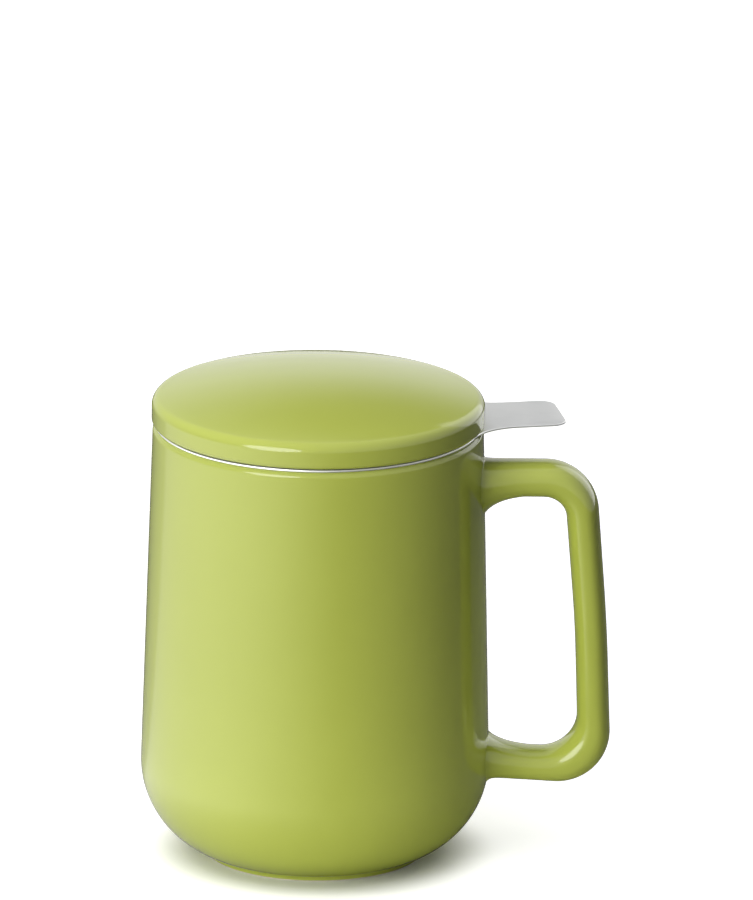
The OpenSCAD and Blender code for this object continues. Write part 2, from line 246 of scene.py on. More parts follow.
def pressedSteel(name, finish, shadeWithin=0.0, shadeAbove=0.0):
    # Stainless sheet, pressed and polished: neutral grey, near-mirror in the funnel and satin
    # outside it, with fine rings left by the tool and dull patches from the polishing wheel;
    # the inner side of a rolled sheet gets a darker colour, painted shade inside the basket
    material, tree = newMaterial(name)
    place, axes, reach = pointOnPiece(tree)
    low, high = noiseSpan
    alongSection = addNode(tree, "ShaderNodeMath", {0: reach, 1: axes[2]}, operation="SUBTRACT")
    rings = addNode(tree, "ShaderNodeTexNoise", {
        "W": alongSection, "Scale": 1 / (steel["ringGap"] * mm), "Detail": 3.0, "Roughness": 0.7},
        noise_dimensions="1D")
    long, across = steel["streak"]
    brushed = addNode(tree, "ShaderNodeVectorMath", {0: place, 1: (1 / (long * mm), 1 / (across * mm), 0)},
                      operation="MULTIPLY")
    streaks = addNode(tree, "ShaderNodeTexNoise", {"Vector": brushed, "Scale": 1.0, "Detail": 2.0})
    flangeEnd, tabStart = steel["ringsEnd"]
    onTab = addNode(tree, "ShaderNodeMapRange", {0: reach, 1: flangeEnd * mm, 2: tabStart * mm})
    lines = addNode(tree, "ShaderNodeMix", {0: onTab, 2: rings, 3: streaks})
    smears = addNode(tree, "ShaderNodeTexNoise", {
        "Vector": place, "Scale": 1 / (steel["smears"] * mm), "Detail": 3.0})
    dull = addNode(tree, "ShaderNodeMapRange", {
        0: smears, 1: steel["smearSpan"][0], 2: steel["smearSpan"][1]})
    polish = addNode(tree, "ShaderNodeMix", {0: dull, 6: srgb(finish["colour"]), 7: srgb(finish["worn"])},
                     data_type="RGBA").outputs[2]
    # painted shade: inside the wall, above the bend, the steel's colour is darker
    within = addNode(tree, "ShaderNodeMath", {0: reach, 1: shadeWithin * mm}, operation="LESS_THAN")
    above = addNode(tree, "ShaderNodeMath", {0: axes[2], 1: shadeAbove * mm}, operation="GREATER_THAN")
    inner = addNode(tree, "ShaderNodeMath", {0: within, 1: above}, operation="MULTIPLY")
    colour = addNode(tree, "ShaderNodeMix", {0: inner, 6: polish, 7: srgb(steel["insideShade"])},
                     data_type="RGBA").outputs[2]
    mouth, flange = steel["satinFrom"]
    satin = addNode(tree, "ShaderNodeMapRange", {
        0: reach, 1: mouth * mm, 2: flange * mm, 3: finish["rough"][0], 4: finish["rough"][1]})
    grain = addNode(tree, "ShaderNodeMapRange", {
        0: lines, 1: low, 2: high, 3: steel["lineRough"][0], 4: steel["lineRough"][1]})
    uneven = addNode(tree, "ShaderNodeMath", {0: dull, 1: steel["smearRough"], 2: grain},
                     operation="MULTIPLY_ADD")
    rough = addNode(tree, "ShaderNodeMath", {0: satin, 1: uneven}, operation="ADD")
    ridges = addNode(tree, "ShaderNodeBump", {
        "Strength": 1.0, "Distance": steel["lineDepth"] * mm, "Height": lines})
    shader = addNode(tree, "ShaderNodeBsdfPrincipled", {
        "Base Color": colour, "Metallic": 1.0, "Roughness": rough, "Normal": ridges})
    addNode(tree, "ShaderNodeOutputMaterial", {"Surface": shader})
    return material


# camera

camera = {
    "lens": 1000,  # long, so that upright lines stay parallel
    "sensor": 36,
    "clip": (0.05, 50),  # metres
    "elevation": 17.0,
    "roll": 0.62,
    "frame": (753, 900),
    "pixelsPerMm": 3.78,  # at the mug's axis, so that the raised lid stays in view
    "foot": (314, 848),  # pixel of the middle of the foot
}


def makeCamera():
    lift, roll = math.radians(camera["elevation"]), math.radians(camera["roll"])
    back = Vector((0, -math.cos(lift), math.sin(lift)))
    level, upright = Vector((1, 0, 0)), Vector((0, math.sin(lift), math.cos(lift)))
    right = level * math.cos(roll) + upright * math.sin(roll)
    up = upright * math.cos(roll) - level * math.sin(roll)
    wide, high = camera["frame"]
    scale = mm / camera["pixelsPerMm"]
    across, rise = (camera["foot"][0] - wide / 2) * scale, (high / 2 - camera["foot"][1]) * scale
    aim = -right * across - up * rise
    distance = high * scale * camera["lens"] / camera["sensor"]
    data = bpy.data.cameras.new("camera")
    data.lens, data.sensor_width = camera["lens"], camera["sensor"]
    data.clip_start, data.clip_end = camera["clip"]
    made = bpy.data.objects.new("camera", data)
    scene.collection.objects.link(made)
    turned = Matrix((right, up, back)).transposed().to_4x4()
    made.matrix_world = Matrix.Translation(aim + back * distance) @ turned
    scene.camera = made


makeCamera()
print("camera placed")

# mug

mug = {
    "height": 117.0, "lipRadius": 43.6, "bellyRadius": 46.0, "baseRound": 25.0, "innerRound": 20.0,
    "wall": 4.0, "floor": 4.4, "lipFlat": 0.8, "footRadius": 29.0, "footWidth": 3.6, "footHollow": 1.6,
    "footRound": 0.6, "hollowRound": 0.8,
    "bareBelow": 0.35, "bareWithin": 30.0,  # bare clay up to this height and out to this radius
    "stepsAround": 256, "baseSteps": 40, "footSteps": 6, "lipSteps": 12, "innerSteps": 32, "gap": 2.5,
}
wallLean = (mug["bellyRadius"] - mug["lipRadius"]) / (mug["height"] - mug["baseRound"])
lipCorner = (mug["lipRadius"], mug["height"])
baseCorner = (mug["bellyRadius"] + wallLean * mug["baseRound"], 0.0)
baseArc = roundCorner((0, 0), baseCorner, lipCorner, mug["baseRound"], mug["baseSteps"])
baseFlat, baseArcTop = baseArc[0][0], baseArc[-1][1]


def wallRadius(z):
    if z < baseArcTop:
        return baseFlat + math.sqrt(mug["baseRound"] ** 2 - (mug["baseRound"] - z) ** 2)
    return mug["bellyRadius"] - (z - mug["baseRound"]) * wallLean


def wallX(y, z):
    return math.sqrt(wallRadius(z) ** 2 - y ** 2)


def mugOutline():
    # half a section through the body, from the middle of its underside round to that of its floor
    floorZ = mug["footHollow"] + mug["floor"]
    innerLip = (mug["lipRadius"] - mug["wall"], mug["height"])
    innerCorner = (mug["bellyRadius"] - mug["wall"] + wallLean * (mug["baseRound"] - floorZ), floorZ)
    footIn, footOut = mug["footRadius"] - mug["footWidth"], mug["footRadius"]
    footTop = mug["baseRound"] - math.sqrt(mug["baseRound"] ** 2 - (footOut - baseFlat) ** 2)
    lipRound = (mug["wall"] - mug["lipFlat"]) / 2
    hollow, innerFoot, outerFoot = (footIn, mug["footHollow"]), (footIn, 0), (footOut, 0)
    points = [(0.0, mug["footHollow"])]
    points += roundCorner(points[0], hollow, innerFoot, mug["hollowRound"], mug["footSteps"])
    points += roundCorner(hollow, innerFoot, outerFoot, mug["footRound"], mug["footSteps"])
    points += roundCorner(innerFoot, outerFoot, (footOut, footTop), mug["footRound"], mug["footSteps"])
    points += [(footOut, footTop)] + [p for p in baseArc if p[0] > footOut]
    points += roundCorner(baseCorner, lipCorner, innerLip, lipRound, mug["lipSteps"])
    points += roundCorner(lipCorner, innerLip, innerCorner, lipRound, mug["lipSteps"])
    points += roundCorner(innerLip, innerCorner, (0, floorZ), mug["innerRound"], mug["innerSteps"])
    points += [(0.0, floorZ)]
    return spaced(points, mug["gap"])


def turnedTree():
    # a shape turned on the Z axis: its outline is repeated around, point by point
    tree = bpy.data.node_groups.new("turned shape", "GeometryNodeTree")
    given = treeInputs(tree, ["Steps Around"], ["Merge Gap"])
    count = addNode(tree, "GeometryNodeAttributeDomainSize", {0: given["Geometry"]}).outputs["Point Count"]
    columns = addNode(tree, "ShaderNodeMath", {0: given["Steps Around"], 1: 1.0}, operation="ADD")
    grid = addNode(tree, "GeometryNodeMeshGrid", {"Vertices X": count, "Vertices Y": columns})
    index = addNode(tree, "GeometryNodeInputIndex")
    share = addNode(tree, "ShaderNodeMath", {0: index, 1: columns}, operation="DIVIDE")
    row = addNode(tree, "ShaderNodeMath", {0: share}, operation="FLOOR")
    column = addNode(tree, "ShaderNodeMath", {0: index, 1: columns}, operation="MODULO")
    position = addNode(tree, "GeometryNodeInputPosition")
    outline = addNode(tree, "GeometryNodeSampleIndex", {
        0: given["Geometry"], "Value": position, "Index": row}, data_type="FLOAT_VECTOR")
    step = addNode(tree, "ShaderNodeMath", {0: 2 * math.pi, 1: given["Steps Around"]}, operation="DIVIDE")
    angle = addNode(tree, "ShaderNodeMath", {0: column, 1: step}, operation="MULTIPLY")
    place = addNode(tree, "ShaderNodeVectorRotate", {"Vector": outline, "Angle": angle},
                    rotation_type="Z_AXIS")
    turned = addNode(tree, "GeometryNodeSetPosition", {"Geometry": grid, "Position": place})
    merged = addNode(tree, "GeometryNodeMergeByDistance", {
        "Geometry": turned, "Distance": given["Merge Gap"]})
    smooth = addNode(tree, "GeometryNodeSetShadeSmooth", {"Geometry": merged, "Shade Smooth": True})
    endTree(tree, smooth, given["Material"])
    return tree


turning = turnedTree()


def turnedPiece(name, outline, stepsAround, material, body, node):
    points = [(r, 0.0, z) for r, z in outline]
    piece = meshObject(name, points, [], [(i, i + 1) for i in range(len(points) - 1)])
    runTree(piece, turning, {"Steps Around": stepsAround, "Merge Gap": mergeGap, "Material": material})
    finishPiece(piece, body, node)


mugGlaze = glazedStoneware("glazed stoneware", mug["bareBelow"], mug["bareWithin"], mug["height"])
turnedPiece("mugBody", mugOutline(), mug["stepsAround"], mugGlaze, "mug", "mug_body")

# handle

handle = {
    "drop": 13.8, "foot": 23.9, "armFall": 1.1, "gapTop": 21.2, "gapLow": 23.4, "bow": 0.9,
    "arm": 9.2, "lowArm": 9.2, "armTaper": 1.3, "grip": 9.0, "gripTaper": 1.0, "width": 14.5,
    "innerTop": 6.1, "outerTop": 14.3, "innerLow": 9.8, "outerLow": 13.6,
    "rootLength": 10.5, "rootSide": 2.6, "rootUp": 0.8, "rootDown": 2.8, "rootInTop": 5.4, "rootInLow": 4.0,
    "rootFill": 0.4, "rootBite": 0.35, "rootCap": 1.0, "rootLate": 4.0, "bowShare": 0.5,
    "squareness": 2.4, "sides": 72, "rootSteps": 20, "arcSteps": 26, "bowSteps": 10, "gap": 3.0,
}


def handleEdge(out):
    # one side of the handle seen from the front: out is 1 outside the D and -1 by the fingers
    armZ, lowZ = mug["height"] - handle["drop"], handle["foot"]
    rootZ, rootArm = lowZ + handle["armFall"], handle["lowArm"] - handle["armTaper"]
    topGrip, lowGrip = handle["grip"] - handle["gripTaper"], handle["grip"]
    top = (wallRadius(armZ) + handle["gapTop"] + (1 + out) * topGrip / 2, armZ + out * handle["arm"] / 2)
    low = (wallRadius(lowZ) + handle["gapLow"] + (1 + out) * lowGrip / 2, lowZ - out * handle["lowArm"] / 2)
    middle = ((top[0] + low[0]) / 2 + handle["bow"], (top[1] + low[1]) / 2)
    start = (wallRadius(armZ), armZ + out * handle["arm"] / 2)
    end = (wallRadius(rootZ), rootZ - out * rootArm / 2)
    bowRadius = handle["bowShare"] * math.dist(top, middle) ** 2 / (2 * handle["bow"])
    leave = between(end, low, handle["rootLength"] / (low[0] - end[0]))
    topRound, lowRound = ((handle["outerTop"], handle["outerLow"]) if out > 0
                          else (handle["innerTop"], handle["innerLow"]))
    return ([start], [(start[0] + handle["rootLength"], start[1])],
            roundCorner(start, top, middle, topRound, handle["arcSteps"]),
            roundCorner(top, middle, low, bowRadius, handle["bowSteps"]),
            roundCorner(middle, low, end, lowRound, handle["arcSteps"]), [leave], [end])


def aroundHandle():
    return [2 * math.pi * i / handle["sides"] for i in range(handle["sides"])]


def swell(c):
    return math.copysign(abs(c) ** (2 / handle["squareness"]), c)


def handleSection(inner, outer):
    ring = []
    for a in aroundHandle():
        x, z = between(inner, outer, (1 + swell(math.cos(a))) / 2)
        ring.append(Vector((x, handle["width"] / 2 * swell(math.sin(a)), z)))
    return ring


def handleRoot(foot, ring, up, inward, outward):
    # the flare from wall to arm: each corner leaves along the wall and arrives along the arm
    rings = []
    for k in range(handle["rootSteps"]):
        t = k / handle["rootSteps"]
        made = []
        for a, start, end in zip(aroundHandle(), foot, ring):
            n = Vector((math.cos(a) / handle["arm"], math.sin(a) / handle["width"])).normalized()
            outer, inner = max(0.0, n.x), max(0.0, -n.x)
            spread = handle["rootSide"] * n.y ** 2 + inward * inner ** 2 + outward * outer ** 2
            y, z = start.y + spread * n.y, start.z + up * spread * n.x
            land = Vector((wallX(y, z) - handle["rootBite"], y, z))
            base = Vector((wallX(start.y, start.z), start.y, start.z))
            filled = handle["rootFill"] * inner * ((land + end) / 2 - base)
            late = (1 - t) ** (2 + handle["rootLate"] * outer)
            made.append(base + t ** 2 * (end - base) + late * (land - base) + 2 * t * (1 - t) * filled)
        rings.append(made)
    return rings


def handlePiece():
    inner, outer = handleEdge(-1), handleEdge(1)
    pairs = [(p, q) for a, b in zip(inner, outer) for p, q in zip(a, b)]
    arm = [pairs[1]]
    for pair in pairs[2:-1]:
        last = arm[-1]
        count = max(1, math.ceil(math.dist(last[1], pair[1]) / handle["gap"]))
        arm += [tuple(between(last[s], pair[s], k / count) for s in (0, 1)) for k in range(1, count + 1)]
    rings = [handleSection(*pair) for pair in arm]
    upper = handleRoot(handleSection(*pairs[0]), rings[0], 1, handle["rootInTop"], handle["rootUp"])
    lower = handleRoot(handleSection(*pairs[-1]), rings[-1], -1, handle["rootInLow"], handle["rootDown"])
    rings = upper + rings + lower[::-1]
    sides, last = handle["sides"], len(rings) - 1
    points = [p for ring in rings for p in ring]
    for innerEnd, outerEnd in (pairs[0], pairs[-1]):
        points.append(Vector((innerEnd[0] - handle["rootBite"] - handle["rootCap"], 0,
                              (innerEnd[1] + outerEnd[1]) / 2)))
    around = [(i, (i + 1) % sides) for i in range(sides)]
    faces = []
    for k in range(last):
        near, far = k * sides, (k + 1) * sides
        faces += [(near + i, near + j, far + j, far + i) for i, j in around]
    faces += [(j, i, len(points) - 2) for i, j in around]
    faces += [(last * sides + i, last * sides + j, len(points) - 1) for i, j in around]
    piece = meshObject("mugHandle", points, faces)
    piece.data.shade_smooth()
    finishPiece(piece, "mug", "mug_handle", mugGlaze)


handlePiece()

# infuser collar

collar = {
    "sheet": 0.6, "flangeRadius": 42.9, "bandWidth": 2.1, "beadHeight": 0.35, "beadSlope": 0.5,
    "mouthRadius": 38.5, "funnelHeight": 11.5, "mouthBend": 1.6, "neckBend": 2.0, "neckLength": 1.7,
    "tabLength": 22.1, "tabWidth": 21.8, "tabTurn": 11.0, "tabFillet": 15.0, "tabCorner": 4.0,
    "stepBend": 0.35, "edgeRound": 0.18, "bandStart": 0.4, "endFlat": 0.5,
    "stepDegrees": 1.5, "filletSteps": 20, "cornerSteps": 10, "tipSteps": 4, "sideGap": 1.5,
    "stepSteps": 4, "bendSteps": 12, "endSteps": 6, "edgeSteps": 4, "bandRows": 8, "gap": 1.2,
}
basket = {
    "radius": 29.1, "sheet": 0.4, "depth": 62.0, "bend": 1.4, "crimp": 3.0, "pitch": 1.0, "hole": 0.64,
    "columns": 182, "rows": 41, "plainTop": 3.6,
    "topRows": 5, "lowRows": 33,  # rows of points in the plain bands above and below the holes
    "holeMargin": 2.6, "cellMargin": 0.75,  # from the edge of the floor to its outermost holes and cells
    "rimShare": 0.7,  # of a pitch beyond the holes, where the floor's rim is looked for
    "crisp": 0.6,  # radians, edges that bend more than this stay sharp
}
bandZ = mug["height"] + collar["sheet"] / 2
beadZ = bandZ + collar["beadHeight"]
beadTop = beadZ + collar["sheet"] / 2
beadRadius = collar["flangeRadius"] - collar["bandWidth"] - collar["beadSlope"]
neckRadius = basket["radius"] - basket["sheet"] - collar["sheet"] / 2
neckZ = beadZ - collar["funnelHeight"]
funnelLean = (collar["mouthRadius"] - neckRadius) / collar["funnelHeight"]
neckTop = neckZ - collar["neckBend"] * math.tan(math.atan(funnelLean) / 2)


def flangeOutline():
    # the flange with its tab, anticlockwise, as (x, y) points; one point per direction
    flange, fillet = collar["flangeRadius"], collar["tabFillet"]
    half, end = collar["tabWidth"] / 2, flange + collar["tabLength"]
    filletTurn = math.asin((half + fillet) / (flange + fillet))
    filletX = (flange + fillet) * math.cos(filletTurn)
    filletArc = (math.pi + filletTurn + (math.pi / 2 - filletTurn) * i / collar["filletSteps"]
                 for i in range(collar["filletSteps"] + 1))
    side = [(filletX + fillet * math.cos(a), half + fillet + fillet * math.sin(a)) for a in filletArc]
    side += roundCorner((filletX, half), (end, half), (end, 0), collar["tabCorner"], collar["cornerSteps"])
    side = spaced(side, collar["sideGap"])
    tipHalf = half - collar["tabCorner"]
    side += [(end, tipHalf * (1 - i / collar["tipSteps"])) for i in range(1, collar["tipSteps"])]
    around = 2 * math.pi - 2 * filletTurn
    count = math.ceil(math.degrees(around) / collar["stepDegrees"])
    ring = [(flange * math.cos(a), flange * math.sin(a))
            for a in (filletTurn + around * i / count for i in range(1, count))]
    whole = [(end, 0.0)] + side[::-1] + ring + [(x, -y) for x, y in side]
    turn = math.radians(collar["tabTurn"])
    c, s = math.cos(turn), math.sin(turn)
    return [(x * c - y * s, x * s + y * c) for x, y in whole]


def besideLine(line, offset):
    # a line moved sideways by its own normals
    made = []
    for i, p in enumerate(line):
        a, b = line[max(0, i - 1)], line[min(len(line) - 1, i + 1)]
        run = math.dist(a, b)
        made.append((p[0] - (b[1] - a[1]) / run * offset, p[1] + (b[0] - a[0]) / run * offset))
    return made


def funnelSection():
    # the pressed sheet from the flange's band over the bead down to the neck's end and back underneath
    half = collar["sheet"] / 2
    stepLow, stepHigh = (beadRadius + collar["beadSlope"], bandZ), (beadRadius, beadZ)
    mouth, neck = (collar["mouthRadius"], beadZ), (neckRadius, neckZ)
    neckEnd = (neckRadius, neckTop - collar["neckLength"])
    middle = [(stepLow[0] + collar["bandStart"], bandZ)]
    middle += roundCorner((collar["flangeRadius"], bandZ), stepLow, stepHigh, collar["stepBend"],
                          collar["stepSteps"])
    middle += roundCorner(stepLow, stepHigh, mouth, collar["stepBend"], collar["stepSteps"])
    middle += roundCorner(stepHigh, mouth, neck, collar["mouthBend"], collar["bendSteps"])
    middle += roundCorner(mouth, neck, neckEnd, collar["neckBend"], collar["bendSteps"]) + [neckEnd]
    middle = spaced(middle, collar["gap"])
    endRound = [(neckRadius - half * math.cos(a), neckEnd[1] - half * math.sin(a) * collar["endFlat"])
                for a in (math.pi * i / collar["endSteps"] for i in range(1, collar["endSteps"]))]
    return besideLine(middle, -half) + endRound + besideLine(middle, half)[::-1]


def edgeSection():
    # the rounded edge of the sheet from its top to its underside, as (inset, height)
    half, rim = collar["sheet"] / 2, collar["edgeRound"]
    arc = [(rim * (1 - math.sin(a)), half - rim + rim * math.cos(a))
           for a in (math.pi / 2 * i / collar["edgeSteps"] for i in range(collar["edgeSteps"] + 1))]
    return arc + [(inset, -z) for inset, z in arc[::-1]]


def collarPiece(material):
    # one closed section for each point of the flange's outline
    half, rim = collar["sheet"] / 2, collar["edgeRound"]
    funnel, edge, outline = funnelSection(), edgeSection(), flangeOutline()
    count = len(outline)
    stations = []
    for i, (x, y) in enumerate(outline):
        before, after = outline[i - 1], outline[(i + 1) % count]
        run, reach = math.dist(before, after), math.hypot(x, y)
        normal = ((after[1] - before[1]) / run, -(after[0] - before[0]) / run)
        line = [(x / reach * r, y / reach * r, z) for r, z in funnel]
        rimTop = (x - normal[0] * rim, y - normal[1] * rim)
        band = [between(line[0][:2], rimTop, k / collar["bandRows"]) for k in range(1, collar["bandRows"])]
        lower = [(p[0], p[1], bandZ - half) for p in band]
        upper = [(p[0], p[1], bandZ + half) for p in band]
        turned = [(x - normal[0] * inset, y - normal[1] * inset, bandZ + z) for inset, z in edge]
        stations.append(line + lower + turned[::-1] + upper[::-1])
    rows = len(stations[0])
    points = [p for station in stations for p in station]
    faces = []
    for i in range(count):
        a, b = i * rows, (i + 1) % count * rows
        faces += [(a + k, b + k, b + (k + 1) % rows, a + (k + 1) % rows) for k in range(rows)]
    piece = meshObject("infuserCollar", points, faces)
    piece.data.shade_smooth()
    finishPiece(piece, "infuser", "infuser_collar", material)


polished = pressedSteel("polished stainless steel", steel["polished"])
collarPiece(polished)

# basket

# the basket's inner side, above its bend, gets painted shade
satin = pressedSteel("satin stainless sheet", steel["sheet"], basket["radius"] - basket["sheet"] / 2,
                     beadTop - basket["depth"] + basket["bend"])


def holeCell(name, wide, high, hole):
    # one pitch of the sheet with a round hole of eight sides
    x, y, r = wide / 2, high / 2, hole / 2
    points = [(x, y, 0), (-x, y, 0), (-x, -y, 0), (x, -y, 0)]
    points += [(r * math.cos(a), r * math.sin(a), 0)
               for a in (math.pi / 8 + math.pi / 4 * k for k in range(8))]
    faces = []
    for k in range(4):
        first = 4 + 2 * k
        faces += [(k, first + 1, first), (k, (k + 1) % 4, 4 + (2 * k + 2) % 8, first + 1)]
    return meshObject(name, points, faces)


def thicken(tree, sheet, thickness, gap):
    # a flat skin becomes a closed sheet, with crisp edges at its holes and rims
    grown = addNode(tree, "GeometryNodeExtrudeMesh", {
        "Mesh": sheet, "Offset Scale": thickness, "Individual": False})
    back = addNode(tree, "GeometryNodeFlipFaces", {"Mesh": sheet})
    joined = addNode(tree, "GeometryNodeJoinGeometry")
    tree.links.new(grown.outputs[0], joined.inputs[0])
    tree.links.new(back.outputs[0], joined.inputs[0])
    closed = addNode(tree, "GeometryNodeMergeByDistance", {"Geometry": joined, "Distance": gap})
    bend = addNode(tree, "GeometryNodeInputMeshEdgeAngle").outputs["Unsigned Angle"]
    crisp = addNode(tree, "FunctionNodeCompare", {0: bend, 1: basket["crisp"]}, data_type="FLOAT",
                    operation="GREATER_THAN")
    smooth = addNode(tree, "GeometryNodeSetShadeSmooth", {"Geometry": closed, "Shade Smooth": True})
    return addNode(tree, "GeometryNodeSetShadeSmooth", {
        "Geometry": smooth, "Selection": crisp, "Shade Smooth": False}, domain="EDGE")


def wallTree():
    # the basket's wall: rows of holes between plain bands, rolled into a tube and turned in below
    tree = bpy.data.node_groups.new("perforated wall", "GeometryNodeTree")
    given = treeInputs(tree, ["Columns", "Columns Around", "Rows", "Top Rows", "Low Rows"],
                       ["Pitch Across", "Pitch Down", "Plain Top", "Plain Low", "Radius", "Top", "Straight",
                        "Bend", "Thickness", "Start Angle", "Merge Gap"])
    wide = addNode(tree, "ShaderNodeMath", {0: given["Columns"], 1: given["Pitch Across"]},
                   operation="MULTIPLY")
    high = addNode(tree, "ShaderNodeMath", {0: given["Rows"], 1: given["Pitch Down"]}, operation="MULTIPLY")
    spotsWide = addNode(tree, "ShaderNodeMath", {0: wide, 1: given["Pitch Across"]}, operation="SUBTRACT")
    spotsHigh = addNode(tree, "ShaderNodeMath", {0: high, 1: given["Pitch Down"]}, operation="SUBTRACT")
    spots = addNode(tree, "GeometryNodeMeshGrid", {
        "Size X": spotsWide, "Size Y": spotsHigh, "Vertices X": given["Columns"],
        "Vertices Y": given["Rows"]})
    holes = addNode(tree, "GeometryNodeInstanceOnPoints", {"Points": spots, "Instance": given["Geometry"]})
    holed = addNode(tree, "GeometryNodeRealizeInstances", {"Geometry": holes})
    joined = addNode(tree, "GeometryNodeJoinGeometry")
    tree.links.new(holed.outputs[0], joined.inputs[0])
    across = addNode(tree, "ShaderNodeMath", {0: given["Columns"], 1: 1.0}, operation="ADD")
    for plain, rows, side in (("Plain Top", "Top Rows", 0.5), ("Plain Low", "Low Rows", -0.5)):
        band = addNode(tree, "GeometryNodeMeshGrid", {
            "Size X": wide, "Size Y": given[plain], "Vertices X": across, "Vertices Y": given[rows]})
        both = addNode(tree, "ShaderNodeMath", {0: high, 1: given[plain]}, operation="ADD")
        middle = addNode(tree, "ShaderNodeMath", {0: both, 1: side}, operation="MULTIPLY")
        shift = addNode(tree, "ShaderNodeCombineXYZ", {1: middle})
        moved = addNode(tree, "GeometryNodeSetPosition", {"Geometry": band, "Offset": shift})
        tree.links.new(moved.outputs[0], joined.inputs[0])
    flat = addNode(tree, "GeometryNodeMergeByDistance", {"Geometry": joined, "Distance": given["Merge Gap"]})
    position = addNode(tree, "GeometryNodeInputPosition")
    axes = addNode(tree, "ShaderNodeSeparateXYZ", {0: position}).outputs
    topEdge = addNode(tree, "ShaderNodeMath", {0: high, 1: 0.5, 2: given["Plain Top"]},
                      operation="MULTIPLY_ADD")
    down = addNode(tree, "ShaderNodeMath", {0: topEdge, 1: axes[1]}, operation="SUBTRACT")
    bendEnd = addNode(tree, "ShaderNodeMath", {0: given["Bend"], 1: math.pi / 2, 2: given["Straight"]},
                      operation="MULTIPLY_ADD")
    turn = addNode(tree, "ShaderNodeMapRange", {0: down, 1: given["Straight"], 2: bendEnd, 4: math.pi / 2})
    past = addNode(tree, "ShaderNodeMath", {0: down, 1: bendEnd}, operation="SUBTRACT")
    inward = addNode(tree, "ShaderNodeMath", {0: past, 1: 0.0}, operation="MAXIMUM")
    bendCentre = addNode(tree, "ShaderNodeMath", {0: given["Radius"], 1: given["Bend"]}, operation="SUBTRACT")
    core = addNode(tree, "ShaderNodeMath", {0: bendCentre, 1: inward}, operation="SUBTRACT")
    cosine = addNode(tree, "ShaderNodeMath", {0: turn}, operation="COSINE")
    radius = addNode(tree, "ShaderNodeMath", {0: given["Bend"], 1: cosine, 2: core}, operation="MULTIPLY_ADD")
    along = addNode(tree, "ShaderNodeMath", {0: down, 1: given["Straight"]}, operation="MINIMUM")
    sine = addNode(tree, "ShaderNodeMath", {0: turn}, operation="SINE")
    fall = addNode(tree, "ShaderNodeMath", {0: given["Bend"], 1: sine, 2: along}, operation="MULTIPLY_ADD")
    height = addNode(tree, "ShaderNodeMath", {0: given["Top"], 1: fall}, operation="SUBTRACT")
    around = addNode(tree, "ShaderNodeMath", {0: given["Columns Around"], 1: given["Pitch Across"]},
                     operation="MULTIPLY")
    share = addNode(tree, "ShaderNodeMath", {0: axes[0], 1: around}, operation="DIVIDE")
    angle = addNode(tree, "ShaderNodeMath", {0: share, 1: 2 * math.pi, 2: given["Start Angle"]},
                    operation="MULTIPLY_ADD")
    section = addNode(tree, "ShaderNodeCombineXYZ", {0: radius, 2: height})
    place = addNode(tree, "ShaderNodeVectorRotate", {"Vector": section, "Angle": angle},
                    rotation_type="Z_AXIS")
    rolled = addNode(tree, "GeometryNodeSetPosition", {"Geometry": flat, "Position": place})
    endTree(tree, thicken(tree, rolled, given["Thickness"], given["Merge Gap"]), given["Material"])
    return tree


